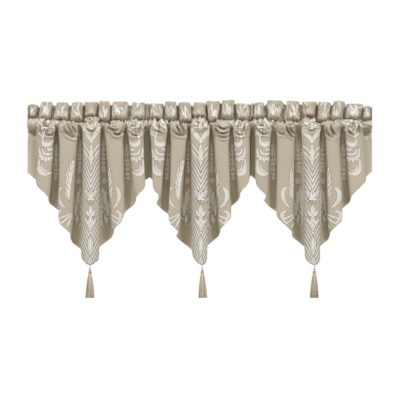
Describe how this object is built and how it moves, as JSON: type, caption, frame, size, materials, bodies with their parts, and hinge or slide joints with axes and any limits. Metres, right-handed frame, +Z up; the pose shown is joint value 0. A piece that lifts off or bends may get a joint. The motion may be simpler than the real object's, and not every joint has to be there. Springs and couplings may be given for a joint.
{
  "type": "ascot valance",
  "caption": "Gathered ascot valances of woven damask in a row: each a frilled rod-pocket heading over a pleated panel cut to a point, with a tassel at the point.",
  "frame": {"origin": "on the axis of the rod that the pockets are made for, at the middle of the row", "axes": "+X along the rod, to the right as seen from the room; +Y from the room to the wall; +Z up"},
  "size_m": [1.1699, 0.0967, 0.6706],
  "materials": {
    "damask": "woven satin damask, soft sheen",
    "tassel_yarn": "twisted rayon yarn"
  },
  "bodies": {
    "root": {"heading_left": "damask", "panel_left": "damask", "tassel_left": "tassel_yarn", "heading_middle": "damask", "panel_middle": "damask", "tassel_middle": "tassel_yarn", "heading_right": "damask", "panel_right": "damask", "tassel_right": "tassel_yarn"}
  },
  "joints": []
}
